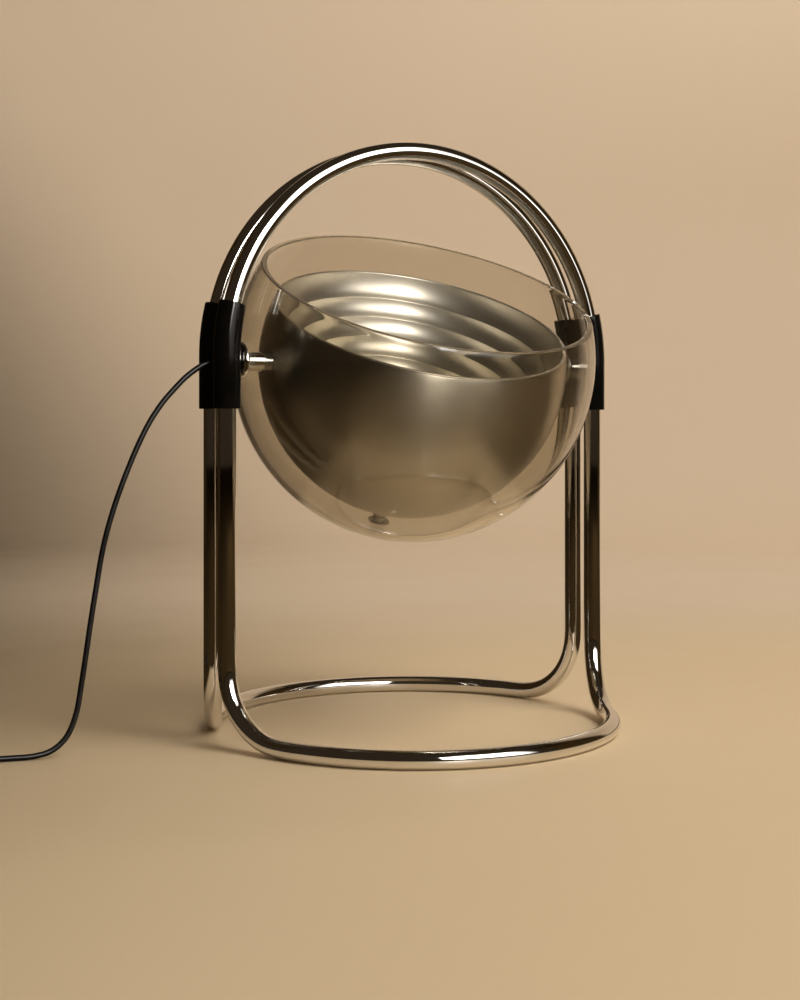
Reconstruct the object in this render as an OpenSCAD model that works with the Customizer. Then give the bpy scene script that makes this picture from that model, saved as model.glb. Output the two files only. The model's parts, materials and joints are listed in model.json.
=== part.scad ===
// Table lamp: a smoked globe with a reflector bowl inside tilts between two bent chrome tubes.
// All sizes are in millimetres. The lamp faces -Y, its tilt axis runs along X, and Z is up.
// The origin is on the table, under the middle of the lamp.

/* [Tubes] */
// Outer diameter of the bent tubes
tube_d = 12; // [10:0.5:14]
// Wall of the bent tubes
tube_wall = 1.2; // [0.8:0.1:2]
// Distance between the front and rear tubes, centre to centre
pair_spacing = 24.6; // [23.4:0.2:30]
// Height of the arch's centre, where the legs turn into the arch
arch_z = 252; // [220:1:300]
// Bend radius at each foot, on the tube's centreline
foot_bend_r = 45; // [30:1:60]
// How far each foot turns inwards from straight ahead, in degrees
toe_in = 22; // [10:1:35]
// Length of the spigot inside each tube joint
spigot_len = 34; // [24:1:50]

/* [Sleeves] */
// Plastic round each tube
sleeve_wall = 2.9; // [1.5:0.1:4]
// Length of a sleeve below the arch's centre
sleeve_below = 34; // [26:1:50]
// Length of a sleeve above the arch's centre, in degrees of the arch
sleeve_arc = 13.8; // [8:0.2:24]
// Thickness of the web outside the tubes' centreline
web_out = 3; // [2:0.5:6]
// Thickness of the web inside the tubes' centreline
web_in = 5; // [3:0.5:8]

/* [Pivots] */
// How far the tilt axis lies below the arch's centre
pivot_drop = 3; // [0:0.5:6]
// Diameter of the pivot nipple and of the pivot stud
pivot_d = 10; // [8:0.5:10.5]
// Bore of the nipple for the lead
nipple_bore = 6.5; // [5:0.5:7]
// How deep the nipple ends in the sleeve's hole
nipple_sunk = 5; // [2:0.5:8]
// Diameter of the bell-shaped collars
collar_d = 26.5; // [20:0.5:32]
// Diameter of a collar where it meets the sleeve
collar_neck_d = 16; // [14:0.5:19]
// Length of a collar's bell, which stands the sleeve off the globe
collar_bell_l = 5.2; // [3.8:0.2:11.8]
// Diameter of the friction washers between collar and globe
friction_d = 14; // [12:0.5:18]
// Thickness of the friction washers
friction_t = 1.2; // [0.8:0.1:2]
// Outer diameter of the spacers between globe and bowl
spacer_d = 12.8; // [11.4:0.2:16]
// Diameter of the washers inside the bowl
washer_d = 18; // [15:0.5:24]
// Thickness of the flat washers inside the bowl
washer_t = 1; // [0.6:0.1:2]
// Height of the dished spring washers inside the bowl
spring_h = 1.4; // [1.2:0.1:2]
// Width of the lock nuts across flats
nut_af = 14; // [13:0.5:17]
// Thickness of the lock nuts
nut_t = 3.2; // [2.5:0.1:6]

/* [Globe] */
// Outer radius of the globe
globe_r = 125; // [108:1:150]
// Wall of the globe
globe_wall = 3.5; // [2:0.5:5]
// Height of the globe's centre above the tilt axis
globe_lift = 3; // [0:0.5:5]
// Height of the mouth above the globe's centre
globe_cut = 51.8; // [35:0.2:65]
// Forward tilt of the head as it is shown, in degrees
rest_tilt = 24.5; // [0:0.5:60]

/* [Reflector] */
// Gap between the globe and the bowl inside it
bowl_gap = 15.5; // [13:0.5:22]
// Wall of the bowl
bowl_wall = 1; // [0.8:0.1:1.4]
// Height of the bowl's rim above its centre
bowl_cut = 31.2; // [20:0.2:38]
// Number of rings in the stepped reflector
ring_count = 6; // [4:1:6]
// Height of the first ring
first_ring_h = 16; // [12:0.5:18]
// Height of each further ring
ring_h = 11.5; // [9:0.5:12.5]
// Step inwards from ring to ring
ring_step = 9.2; // [6:0.2:10.4]
// Sheet thickness of the stepped reflector
reflector_t = 1; // [0.6:0.1:1.4]
// Width of the lip that lies on the bowl's rim
lip_w = 2.4; // [1.6:0.1:3.5]

/* [Post] */
// Diameter of the post between bowl and globe
post_d = 9.5; // [9:0.5:14]
// Diameter of the stud from the post into the lampholder
stud_d = 6; // [5:0.5:7]
// How deep the stud enters the post
stud_depth = 5; // [4:0.5:6]
// Diameter of the screw that holds the globe
screw_d = 4; // [3:0.5:5]
// Diameter of that screw's head
screw_head_d = 8.6; // [8:0.2:12]
// Height of that screw's head
screw_head_h = 2.6; // [2:0.1:4]
// Diameter of the disc between that screw's head and the globe
globe_washer_d = 16.5; // [12:0.5:20]
// Thickness of that disc
globe_washer_t = 1.2; // [0.8:0.1:2]
// Length of the disc's neck, which stands it off the globe
washer_neck_l = 4.4; // [2:0.2:6]

/* [Lampholder] */
// Outer diameter of the lampholder
holder_d = 39; // [37:0.5:44]
// Height of the lampholder
holder_h = 61; // [55:1:65]
// Height of the lampholder's cap
holder_cap_h = 25; // [22:0.5:28]
// Wall of the lampholder's cap
holder_wall = 3; // [2:0.5:4]
// Bore that takes the lamp's screw cap
lamp_bore = 26.8; // [25:0.1:28]
// Sheet thickness of the screw shell
shell_t = 0.5; // [0.4:0.1:1]
// Thickness of the ceramic core
core_t = 10; // [8:0.5:12]
// Diameter of the contact in the middle of the core
contact_d = 9; // [6:0.5:12]
// Depth of the contact's well in the core
contact_h = 3; // [2:0.5:5]
// Height at which the lead enters the cap
lead_entry = 14; // [10:0.5:16]

/* [Lead] */
// Diameter of the lead
cord_d = 3.6; // [3:0.1:3.8]
// Bend radius of the lead inside the bowl
lead_bend_r = 15; // [12:0.5:18]
// How steeply the lead runs down inside the bowl, in degrees
lead_slope = 71; // [64:1:76]
// Diameter of the cord bush outside the nipple
bush_d = 8; // [7:0.2:9]
// Length of the cord bush outside the nipple
bush_out = 2; // [1:0.5:4]
// Length of the cord bush inside the nipple
bush_in = 8; // [5:0.5:12]
// Turns in the coil
coil_turns = 10.25; // [6.25:1:12.25]
// Radius of the coil's innermost turn
coil_in_r = 14.6; // [14:0.2:18]
// Distance between neighbouring turns, centre to centre
coil_pitch = 4.06; // [4.06:0.02:4.6]
// Width of the tie round the coil
tie_w = 6; // [4:0.5:8]
// Thickness of the tie
tie_t = 0.8; // [0.6:0.1:1.2]

/* [Switch] */
// Length of the in-line switch
switch_l = 60; // [54:1:72]
// Width of the in-line switch
switch_w = 24; // [22:0.5:30]
// Height of the in-line switch
switch_h = 16; // [15:0.5:20]
// Wall of the switch's two shells
switch_wall = 2; // [1.6:0.1:2.6]
// Radius of the crown on the switch's cover
switch_crown_r = 40; // [34:1:60]
// Length of the rocker
rocker_l = 18.4; // [15:0.2:20]
// Width of the rocker
rocker_w = 9.6; // [7:0.2:10]
// How far the rocker turns from off to on, in degrees
rocker_turn = 16; // [10:1:20]
// Diameter of the rocker's pin
rocker_pin_d = 2; // [1.6:0.1:2.6]
// Diameter of the switch's two screws
switch_screw_d = 2.4; // [2:0.1:3]

/* [Plug] */
// Length of the plug's body
plug_l = 34; // [30:1:42]
// Width of the plug's body
plug_w = 35; // [32:0.5:40]
// Thickness of the plug's body
plug_t = 13.8; // [12:0.2:18]
// Length of the tapered cord guard on the plug
guard_l = 20; // [14:1:28]
// Diameter of the plug's pins
pin_d = 4; // [3.6:0.2:4.8]
// Length of the plug's pins
pin_l = 19; // [15:0.5:22]
// Distance between the plug's pins
pin_spacing = 18.6; // [14:0.2:20]

/* [Clearances] */
// Radial clearance of a turning fit
running_fit = 0.05; // [0.02:0.01:0.1]
// Radial clearance of pieces fixed in one another
seat_fit = 0.05; // [0.02:0.01:0.1]
// Radial gap round the lead where a bush or a wall holds it
cord_fit = 0.2; // [0.1:0.05:0.4]
// Gap between flat or round faces that pass each other
moving_gap = 0.3; // [0.2:0.05:0.6]
// Gap round the reflector, the lead and the lampholder where they pass through a hole
through_gap = 0.5; // [0.2:0.1:1]

/* [Hidden] */
$fn = 72;
eps = 0.01;
far = 400;

// Colours
chrome = "silver";
black = "#191817";
smoke = "#6b5a4480";
aluminium = "#b9b4a6";
brass = "#b8963e";
steel = "#9a9da0";
ivory = "#e8e0cc";

// Places along the tilt axis, measured outwards from the middle of the lamp
globe_in_r = globe_r - globe_wall;
bowl_r = globe_in_r - bowl_gap;
bowl_in_r = bowl_r - bowl_wall;
friction_face = globe_r + moving_gap / 2;
collar_face = friction_face + friction_t;
collar_cone = 0.4;
collar_rim = 1;
sleeve_face = collar_face + collar_cone + collar_rim + collar_bell_l;
lobe_d = tube_d + 2 * (seat_fit + sleeve_wall);
arch_r = sleeve_face + lobe_d / 2;
pivot_out = arch_r + web_out;
nipple_out = pivot_out - nipple_sunk;
spacer_out = sqrt(globe_in_r ^ 2 - (spacer_d / 2 + globe_lift) ^ 2) - seat_fit;
spacer_in = bowl_r + seat_fit;
washer_face = sqrt(bowl_in_r ^ 2 - (washer_d / 2) ^ 2) - moving_gap;
spring_face = washer_face - washer_t;
nut_face = spring_face - spring_h;
thread_end = 1;
pivot_in = nut_face - nut_t - thread_end;
pivot_hole_d = pivot_d + 2 * through_gap;

// Frame: the tilt axis, the joint plane of the tubes and the base curve
half_pair = pair_spacing / 2;
base_z = tube_d / 2;
pivot_z = arch_z - pivot_drop;
joint_z = arch_z - spigot_len / 2;
foot_x = arch_r - foot_bend_r * sin(toe_in);
foot_y = half_pair + foot_bend_r * cos(toe_in);
base_r = foot_x / cos(toe_in);
base_centre_y = foot_y - foot_x * tan(toe_in);

// Places along the head's own axis, measured up from the tilt axis
lip_z = bowl_cut + reflector_t;
rim_rho = sqrt(bowl_in_r ^ 2 - bowl_cut ^ 2) - through_gap - reflector_t;
holder_r = holder_d / 2;
holder_z = -sqrt(bowl_in_r ^ 2 - holder_r ^ 2) + seat_fit;
core_z = holder_z + holder_cap_h;
shell_z = core_z + core_t;
holder_top = holder_z + holder_h;
shell_d = lamp_bore + 2 * shell_t;
shell_sunk = 2;
shell_h = holder_top - shell_sunk - shell_z;
post_top = -bowl_r - seat_fit;
post_foot = globe_lift - sqrt(globe_in_r ^ 2 - (post_d / 2) ^ 2) + seat_fit;
globe_washer_z = globe_lift - globe_r - seat_fit;
screw_seat = globe_washer_z - washer_neck_l - globe_washer_t;
screw_stop = 1.2;
screw_end = post_top - stud_depth - screw_stop;
stud_nut_af = 10;
stud_nut_t = 4;
lead_z = holder_z + lead_entry;
lead_straight = 3;
lead_turn_at = pivot_in - lead_straight;

// Lead: its routes lie on the table and fall as a heavy cord does
cord_r = cord_d / 2;
bush_end = nipple_out - bush_in;
cord_steps = 2;
run_points = [
    [-132, 0, 249], [-141, 0, 249], [-148, 0.4, 248.2], [-155, 1, 245.2], [-164, 2, 238.6], [-172, 3, 230.4],
    [-180, 4, 221], [-189, 5, 207], [-198, 6, 188], [-207, 7, 165], [-213, 8, 146], [-217.5, 9, 127],
    [-221, 9.5, 106], [-224.5, 10, 84], [-227.5, 10, 64], [-230.5, 10.5, 44], [-233.5, 11, 27],
    [-239, 12, 13.4], [-248, 13, 5.2], [-259, 14, 2.4], [-271, 16, 2.1], [-283, 18, 2.3], [-294, 19.5, 3.6],
    [-304, 20, 6.6], [-313, 20, 8], [-320, 20, 8]
];
link_points = [
    [-370, 20, 8], [-378, 20, 8], [-389, 21, 6], [-400, 25, 3.4], [-409, 34, 2.8], [-414, 46, 3],
    [-415, 58, 3.2], [-415, 70, 3.2], [-415, 78.4, 3.2]
];
switch_at = [-345, 20, 0];
split_z = switch_h / 2;

// Coil: four layers wound in and out, starting at its left on the table
coil_layers = 4;
coil_steps = 24;
coil_sides = 6;
layer_turns = coil_turns / coil_layers;
coil_out_r = coil_in_r + coil_pitch * layer_turns;
tie_gap = 0.6;
coil_z = cord_r + tie_gap + tie_t;
coil_top = coil_z + (coil_layers - 1) * coil_pitch;
coil_start = [-415, 82];
coil_at = [coil_start.x + coil_out_r, coil_start.y];
coil_end = [coil_at.x, coil_at.y + coil_out_r];

// Tail and plug: the plug lies flat beside the coil
plug_z = plug_t / 2;
tail_l = 42;
tail_points = [
    [coil_end.x + cord_d, coil_end.y, coil_top], [coil_end.x + 12, coil_end.y, coil_top - 0.4],
    [coil_end.x + 22, coil_end.y, coil_top - 3.4], [coil_end.x + 31, coil_end.y, plug_z + 1],
    [coil_end.x + 37, coil_end.y, plug_z], [coil_end.x + tail_l, coil_end.y, plug_z]
];
guard_tip_d = cord_d + 1.8;
guard_root_d = 9;
plug_at = [coil_end.x + tail_l + guard_l, coil_end.y, plug_z];

// Switch: the rocker's pin and the rocker's shape about it
rocker_sunk = 4.2;
rocker_z = switch_h - rocker_sunk;
rocker_top = 4.5;
rocker_dip = 3.2;
rocker_side = 1;
rocker_foot = 3;
rocker_foot_l = 6;
rocker_gap = 1;
cover_t = 2.4;
cavity_top = switch_h - cover_t;
screw_bore_end = cavity_top - 1;
lug_t = 2.2;
switch_screw_at = [14, 8];
switch_post_d = 5;

function unit(v) = v / norm(v);

// A smooth curve through the middle two of four points
function curve_point(a, b, c, d, t) =
    (2 * b + (c - a) * t + (2 * a - 5 * b + 4 * c - d) * t ^ 2 + (3 * b - a - 3 * c + d) * t ^ 3) / 2;

function smooth(points, steps) = let (last = len(points) - 1) concat(
    [for (i = [0:last - 1], j = [0:steps - 1]) curve_point(
        points[max(i - 1, 0)], points[i], points[i + 1], points[min(i + 2, last)], j / steps)],
    [points[last]]
);

function headings(points) = let (last = len(points) - 1)
    [for (i = [0:last]) unit(points[min(i + 1, last)] - points[max(i - 1, 0)])];

// Side directions that turn as little as they can along the curve
function sides_along(ways, i = 0, side = [0, 0.1, 1]) = i == len(ways) ? [] :
    let (now = unit(side - (side * ways[i]) * ways[i]))
    concat([now], sides_along(ways, i + 1, now));

function path_length(points) =
    [for (i = [1:len(points) - 1]) norm(points[i] - points[i - 1])] * [for (i = [1:len(points) - 1]) 1];

// A round cord swept along points, with flat ends
module cord_tube(points, r, sides) {
    ways = headings(points);
    ups = sides_along(ways);
    last = len(points) - 1;
    skin = [for (i = [0:last], k = [0:sides - 1]) let (a = 360 * k / sides)
        points[i] + r * (cos(a) * ups[i] + sin(a) * cross(ways[i], ups[i]))];
    walls = [for (i = [0:last - 1], k = [0:sides - 1]) let (
        a = i * sides + k,
        b = i * sides + (k + 1) % sides
    ) each [[a, a + sides, b + sides], [a, b + sides, b]]];
    near_end = [for (k = [1:sides - 2]) [0, k, k + 1]];
    far_end = [for (k = [1:sides - 2]) [0, k + 1, k] + last * sides * [1, 1, 1]];
    polyhedron(skin, concat(walls, near_end, far_end), convexity = 10);
}

// Places in the lamp
module in_head() {
    translate([0, 0, pivot_z]) rotate([rest_tilt, 0, 0]) children();
}

// Turns the Z axis to point outwards along the tilt axis: side is 1 on the right and -1 on the left
module on_pivot(side) {
    translate([0, 0, pivot_z]) mirror([side < 0 ? 1 : 0, 0, 0]) rotate([0, 90, 0]) children();
}

module ring(outer_d, inner_d, from, to) {
    translate([0, 0, from]) difference() {
        cylinder(d = outer_d, h = to - from);
        translate([0, 0, -eps]) cylinder(d = inner_d, h = to - from + 2 * eps);
    }
}

// Tubes
module tube_section() {
    difference() {
        circle(d = tube_d);
        circle(d = tube_d - 2 * tube_wall);
    }
}

module tube_bend(r, angle) {
    rotate_extrude(angle = angle, $fn = 144) translate([r, 0]) tube_section();
}

module arch_tube() {
    translate([0, -half_pair, arch_z]) rotate([90, 0, 0]) tube_bend(arch_r, 180);
    for (x = [-arch_r, arch_r])
        translate([x, -half_pair, joint_z]) linear_extrude(arch_z - joint_z) tube_section();
}

// Half of a base loop: a leg, the bend at its foot and the base curve up to the middle of the lamp
module half_base() {
    spare = 1;
    difference() {
        translate([0, -base_centre_y, base_z]) rotate([0, 0, 180 + toe_in]) {
            tube_bend(base_r, 90 - toe_in + spare);
            translate([base_r, 0, foot_bend_r]) rotate([-90, 0, -90]) tube_bend(foot_bend_r, 90);
            translate([base_r, -foot_bend_r, foot_bend_r])
                linear_extrude(joint_z - base_z - foot_bend_r) tube_section();
        }
        translate([0, -far, -far]) cube(2 * far);
    }
}

module base_tube() {
    half_base();
    mirror([1, 0, 0]) half_base();
}

module front_arch_tube() { color(chrome) arch_tube(); }
module rear_arch_tube() { color(chrome) mirror([0, 1, 0]) arch_tube(); }
module front_base_tube() { color(chrome) base_tube(); }
module rear_base_tube() { color(chrome) mirror([0, 1, 0]) base_tube(); }

module tube_spigots() {
    color(steel) for (x = [-arch_r, arch_r], y = [-half_pair, half_pair])
        translate([x, y, joint_z - spigot_len / 2])
            cylinder(d = tube_d - 2 * (tube_wall + seat_fit), h = spigot_len);
}

// Sleeves: the section is drawn about the middle of its two tubes, with outwards along X
module sleeve_outline() {
    for (y = [-half_pair, half_pair]) translate([0, y]) circle(d = lobe_d);
    translate([-web_in, -half_pair]) square([web_in + web_out, pair_spacing]);
}

module sleeve_bores() {
    for (y = [-half_pair, half_pair]) translate([0, y]) circle(d = tube_d + 2 * seat_fit);
}

module sleeve_run(extra) {
    translate([arch_r, 0, arch_z - sleeve_below - extra])
        linear_extrude(sleeve_below + extra) children();
    translate([0, 0, arch_z]) rotate([90, 0, 0])
        rotate_extrude(angle = sleeve_arc + extra, $fn = 144) translate([arch_r, 0]) children();
}

module sleeve() {
    color(black) difference() {
        union() {
            sleeve_run(0) sleeve_outline();
            on_pivot(1) translate([0, 0, sleeve_face]) cylinder(d = collar_neck_d, h = lobe_d / 2);
        }
        sleeve_run(1) sleeve_bores();
        on_pivot(1) cylinder(d = pivot_d + 2 * seat_fit, h = far);
    }
}

module right_sleeve() { sleeve(); }
module left_sleeve() { mirror([1, 0, 0]) sleeve(); }

// Pivots
module left_pivot_nipple() { color(steel) on_pivot(-1) ring(pivot_d, nipple_bore, pivot_in, nipple_out); }

module right_pivot_stud() {
    slot_w = 1.6;
    slot_depth = 2;
    color(steel) on_pivot(1) difference() {
        translate([0, 0, pivot_in]) cylinder(d = pivot_d, h = pivot_out - pivot_in);
        translate([-slot_w / 2, -pivot_d, pivot_out - slot_depth]) cube([slot_w, 2 * pivot_d, pivot_d]);
    }
}

// A bell: its mouth faces the globe and its narrow end stands on the sleeve
module collar(side) {
    bore_r = pivot_d / 2 + seat_fit;
    rim_z = collar_face + collar_cone;
    color(chrome) on_pivot(side) rotate_extrude() polygon([
        [bore_r, collar_face], [friction_d / 2, collar_face], [collar_d / 2, rim_z],
        [collar_d / 2, rim_z + collar_rim], [collar_neck_d / 2, sleeve_face], [bore_r, sleeve_face]
    ]);
}

module left_collar() { collar(-1); }
module right_collar() { collar(1); }

module friction_washers() {
    color(ivory) for (side = [-1, 1]) on_pivot(side)
        ring(friction_d, pivot_d + 2 * seat_fit, friction_face, collar_face);
}

module inner_washers() {
    color(steel) for (side = [-1, 1]) on_pivot(side)
        ring(washer_d, pivot_d + 2 * seat_fit, spring_face, washer_face);
}

// Dished washers: the wide end bears on the flat washer
module spring_washers() {
    sheet = spring_h / 2;
    bore_r = pivot_d / 2 + seat_fit;
    set_in = 1;
    wide_r = washer_d / 2 - set_in;
    color(steel) for (side = [-1, 1]) on_pivot(side) rotate_extrude() polygon([
        [bore_r, nut_face], [bore_r + sheet, nut_face], [wide_r, spring_face - sheet],
        [wide_r, spring_face], [wide_r - sheet, spring_face], [bore_r, nut_face + sheet]
    ]);
}

module hex_nut(af, bore_d, from, to) {
    translate([0, 0, from]) difference() {
        cylinder(d = af / cos(30), h = to - from, $fn = 6);
        translate([0, 0, -eps]) cylinder(d = bore_d, h = to - from + 2 * eps);
    }
}

module lock_nuts() {
    color(steel) for (side = [-1, 1]) on_pivot(side)
        hex_nut(nut_af, pivot_d + 2 * seat_fit, nut_face - nut_t, nut_face);
}

module cord_bush() {
    color(black) on_pivot(-1) {
        ring(nipple_bore - 2 * seat_fit, cord_d + 2 * cord_fit, bush_end, nipple_out + eps);
        ring(bush_d, cord_d + 2 * cord_fit, nipple_out, nipple_out + bush_out);
    }
}

module left_spacer() { color(chrome) on_pivot(-1) spacer(); }
module right_spacer() { color(chrome) on_pivot(1) spacer(); }
module spacer() { ring(spacer_d, pivot_d + 2 * running_fit, spacer_in, spacer_out); }

// A hollow ball cut off level, with holes for the pivots and one at its pole
// Its centre is lifted off the tilt axis, and the cut is measured from that centre
module open_ball(r, wall, lift, cut, pole_hole_d) {
    difference() {
        translate([0, 0, lift]) sphere(r, $fn = 120);
        translate([0, 0, lift]) sphere(r - wall, $fn = 120);
        translate([0, 0, lift + cut]) cylinder(r = 2 * r, h = 2 * r);
        rotate([0, 90, 0]) cylinder(d = pivot_hole_d, h = far, center = true);
        translate([0, 0, -far]) cylinder(d = pole_hole_d, h = far);
    }
}

module globe() {
    color(smoke) in_head() open_ball(globe_r, globe_wall, globe_lift, globe_cut, screw_d + 2 * through_gap);
}

module reflector_bowl() {
    color(aluminium) in_head() open_ball(bowl_r, bowl_wall, 0, bowl_cut, stud_d + 2 * seat_fit);
}

// Stepped reflector: each ring is a quarter of an ellipse, from its upper edge in to the next edge
function edge_rho(i) = rim_rho - i * ring_step;
function edge_z(i) = lip_z - (i == 0 ? 0 : first_ring_h + (i - 1) * ring_h);
function ring_point(i, angle, grow) = [
    edge_rho(i + 1) + (ring_step + grow) * cos(angle),
    edge_z(i) - (edge_z(i) - edge_z(i + 1) + grow) * sin(angle)
];

module stepped_reflector() {
    steps = 6;
    trim = 9;
    lip_rho = rim_rho + lip_w;
    inside = [for (i = [0:ring_count - 1], j = [0:steps]) ring_point(i, 90 * j / steps, 0)];
    outside = [for (i = [ring_count - 1:-1:0], j = [steps:-1:0])
        ring_point(i, trim + (90 - 2 * trim) * j / steps, reflector_t)];
    floor_z = edge_z(ring_count);
    floor_rho = holder_r + through_gap;
    color(aluminium) in_head() rotate_extrude($fn = 144) polygon(concat(
        [[lip_rho, lip_z]], inside, [[floor_rho, floor_z], [floor_rho, floor_z - reflector_t]], outside,
        [[rim_rho + reflector_t, bowl_cut], [lip_rho, bowl_cut]]
    ));
}

// Post between bowl and globe, and what fastens it
module base_post() {
    color(aluminium) in_head() difference() {
        translate([0, 0, post_foot]) cylinder(d = post_d, h = post_top - post_foot);
        translate([0, 0, post_top - stud_depth]) cylinder(d = stud_d + 2 * seat_fit, h = far);
        translate([0, 0, screw_end - far]) cylinder(d = screw_d + 2 * seat_fit, h = far);
    }
}

module post_stud() {
    from = post_top - stud_depth;
    to = holder_z + holder_wall + stud_nut_t + thread_end;
    color(steel) in_head() translate([0, 0, from]) cylinder(d = stud_d, h = to - from);
}

// A disc on a neck as wide as the post
module globe_washer() {
    color(steel) in_head() {
        ring(globe_washer_d, screw_d + 2 * seat_fit, screw_seat, screw_seat + globe_washer_t);
        ring(post_d, screw_d + 2 * seat_fit, screw_seat + globe_washer_t, globe_washer_z);
    }
}

module globe_screw() {
    slot_w = 1.2;
    slot_depth = 1.2;
    tip_d = screw_head_d - 2;
    color(chrome) in_head() difference() {
        union() {
            translate([0, 0, screw_seat]) cylinder(d = screw_d, h = screw_end - screw_seat);
            translate([0, 0, screw_seat - screw_head_h])
                cylinder(d1 = tip_d, d2 = screw_head_d, h = screw_head_h);
        }
        translate([-screw_head_d, -slot_w / 2, screw_seat - screw_head_h - slot_depth])
            cube([2 * screw_head_d, slot_w, 2 * slot_depth]);
    }
}

// Lampholder
module holder_cap() {
    neck_r = holder_r - 4;
    shoulder_h = 7;
    inner_shoulder_h = 8;
    color(black) in_head() difference() {
        translate([0, 0, holder_z]) rotate_extrude() polygon([
            [stud_d / 2 + seat_fit, 0], [neck_r, 0], [holder_r, shoulder_h], [holder_r, holder_cap_h],
            [holder_r - holder_wall, holder_cap_h], [holder_r - holder_wall, inner_shoulder_h],
            [neck_r - holder_wall, holder_wall], [stud_d / 2 + seat_fit, holder_wall]
        ]);
        translate([-holder_d, 0, lead_z]) rotate([0, 90, 0])
            cylinder(d = cord_d + 2 * through_gap, h = holder_d);
    }
}

module holder_nut() {
    from = holder_z + holder_wall;
    color(steel) in_head() hex_nut(stud_nut_af, stud_d + 2 * seat_fit, from, from + stud_nut_t);
}

module holder_body() {
    core_d = holder_d - 2 * holder_wall;
    color(black) in_head() {
        ring(holder_d, core_d, core_z, shell_z);
        ring(holder_d, shell_d + 2 * seat_fit, shell_z, holder_top);
    }
}

module holder_core() {
    well_d = contact_d + 2 * through_gap;
    color(ivory) in_head() difference() {
        translate([0, 0, core_z]) cylinder(d = holder_d - 2 * (holder_wall + seat_fit), h = core_t);
        translate([0, 0, shell_z - contact_h]) cylinder(d = well_d, h = core_t);
    }
}

module thread_shell() { color(brass) in_head() ring(shell_d, lamp_bore, shell_z, shell_z + shell_h); }

// The contact stands in a well in the core, its cap just below the core's face
module centre_contact() {
    stem_d = contact_d / 2;
    cap_t = 1;
    sunk = 0.2;
    color(brass) in_head() translate([0, 0, shell_z - contact_h]) {
        cylinder(d = stem_d, h = contact_h - sunk);
        translate([0, 0, contact_h - sunk - cap_t]) cylinder(d = contact_d, h = cap_t);
    }
}

// Lead inside the lamp: through the nipple, down behind the reflector and into the lampholder's cap
function bend_points(centre, from, sweep, steps) = [for (i = [0:steps])
    centre + lead_bend_r * [cos(from + sweep * i / steps), 0, sin(from + sweep * i / steps)]];

module inner_lead() {
    bend_steps = 7;
    end_inside = 1;
    way = [cos(lead_slope), 0, -sin(lead_slope)];
    slope_l = (-lead_z - 2 * lead_bend_r * (1 - cos(lead_slope))) / sin(lead_slope);
    upper_centre = [-lead_turn_at, 0, -lead_bend_r];
    upper = bend_points(upper_centre, 90, -lead_slope, bend_steps);
    lower_centre = upper_centre + slope_l * way + 2 * lead_bend_r * [sin(lead_slope), 0, cos(lead_slope)];
    lower = bend_points(lower_centre, 270 - lead_slope, lead_slope, bend_steps);
    color(black) in_head() cord_tube(concat(
        [[-(bush_end - moving_gap), 0, 0]], upper, lower, [[-(holder_r - holder_wall - end_inside), 0, lead_z]]
    ), cord_r, 8);
}

// Lead outside the lamp
module cord_run() { color(black) cord_tube(smooth(run_points, cord_steps), cord_r, 8); }
module cord_link() { color(black) cord_tube(smooth(link_points, cord_steps), cord_r, 8); }
module cord_tail() { color(black) cord_tube(smooth(tail_points, cord_steps), cord_r, 8); }

// Coil: the radius runs in and out at a steady rate, and the cord climbs where it turns back
function coil_radius(turn) = let (
    layer = min(floor(turn / layer_turns), coil_layers - 1),
    done = turn - layer * layer_turns
) layer % 2 == 0 ? coil_out_r - coil_pitch * done : coil_in_r + coil_pitch * done;

function climb(turn, at) = max(0, min(1, (turn - at) * 2 + 0.5));
function coil_height(turn) = coil_z + coil_pitch *
    (climb(turn, layer_turns) + climb(turn, 2 * layer_turns) + climb(turn, 3 * layer_turns));

function coil_point(turn) = let (a = 180 - 360 * turn, r = coil_radius(turn))
    [coil_at.x + r * cos(a), coil_at.y + r * sin(a), coil_height(turn)];

coil_rings = round(coil_turns * coil_steps);
coil_points = concat(
    [[coil_start.x, coil_start.y - cord_d, coil_z]],
    [for (i = [0:coil_rings]) coil_point(coil_turns * i / coil_rings)],
    [[coil_end.x + cord_d, coil_end.y, coil_top]]
);

// Least gap between turns: points half a turn or more apart along the cord
function least_gap(points, apart) = min([for (i = [0:len(points) - 1 - apart])
    min([for (j = [i + apart:len(points) - 1]) norm(points[i] - points[j])])]) - cord_d;

module cord_coil() {
    echo(least_gap_in_coil = least_gap(coil_points, coil_steps / 2));
    echo(coil_length = path_length(coil_points));
    echo(run_length = path_length(smooth(run_points, cord_steps)));
    echo(link_length = path_length(smooth(link_points, cord_steps)));
    echo(tail_length = path_length(smooth(tail_points, cord_steps)));
    color(black) cord_tube(coil_points, cord_r, coil_sides);
}

// A flat strap round all the turns, on the side of the coil away from its start
module coil_tie() {
    room = cord_r + tie_gap;
    size = [coil_out_r - coil_in_r + 2 * room, coil_top - coil_z + 2 * room];
    translate([coil_at.x + coil_in_r - room, coil_at.y, coil_z - room])
        color(black) rotate([90, 0, 0]) linear_extrude(tie_w, center = true) difference() {
            translate([-tie_t, -tie_t]) square(size + 2 * tie_t * [1, 1]);
            square(size);
        }
}

// In-line switch: two shells that part at the cord's height
module switch_outline(inset) {
    r = switch_w / 2 - inset;
    reach = switch_l - switch_w;
    for (x = [-reach / 2, reach / 2]) translate([x, 0]) circle(r);
    translate([-reach / 2, -r]) square([reach, 2 * r]);
}

module cord_holes() {
    translate([0, 0, split_z]) rotate([0, 90, 0])
        cylinder(d = cord_d + 2 * cord_fit, h = switch_l + 2, center = true);
}

module at_switch_screws() {
    for (side = [-1, 1]) translate([side * switch_screw_at.x, side * switch_screw_at.y, 0]) children();
}

screw_head_room = 1.8;

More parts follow.
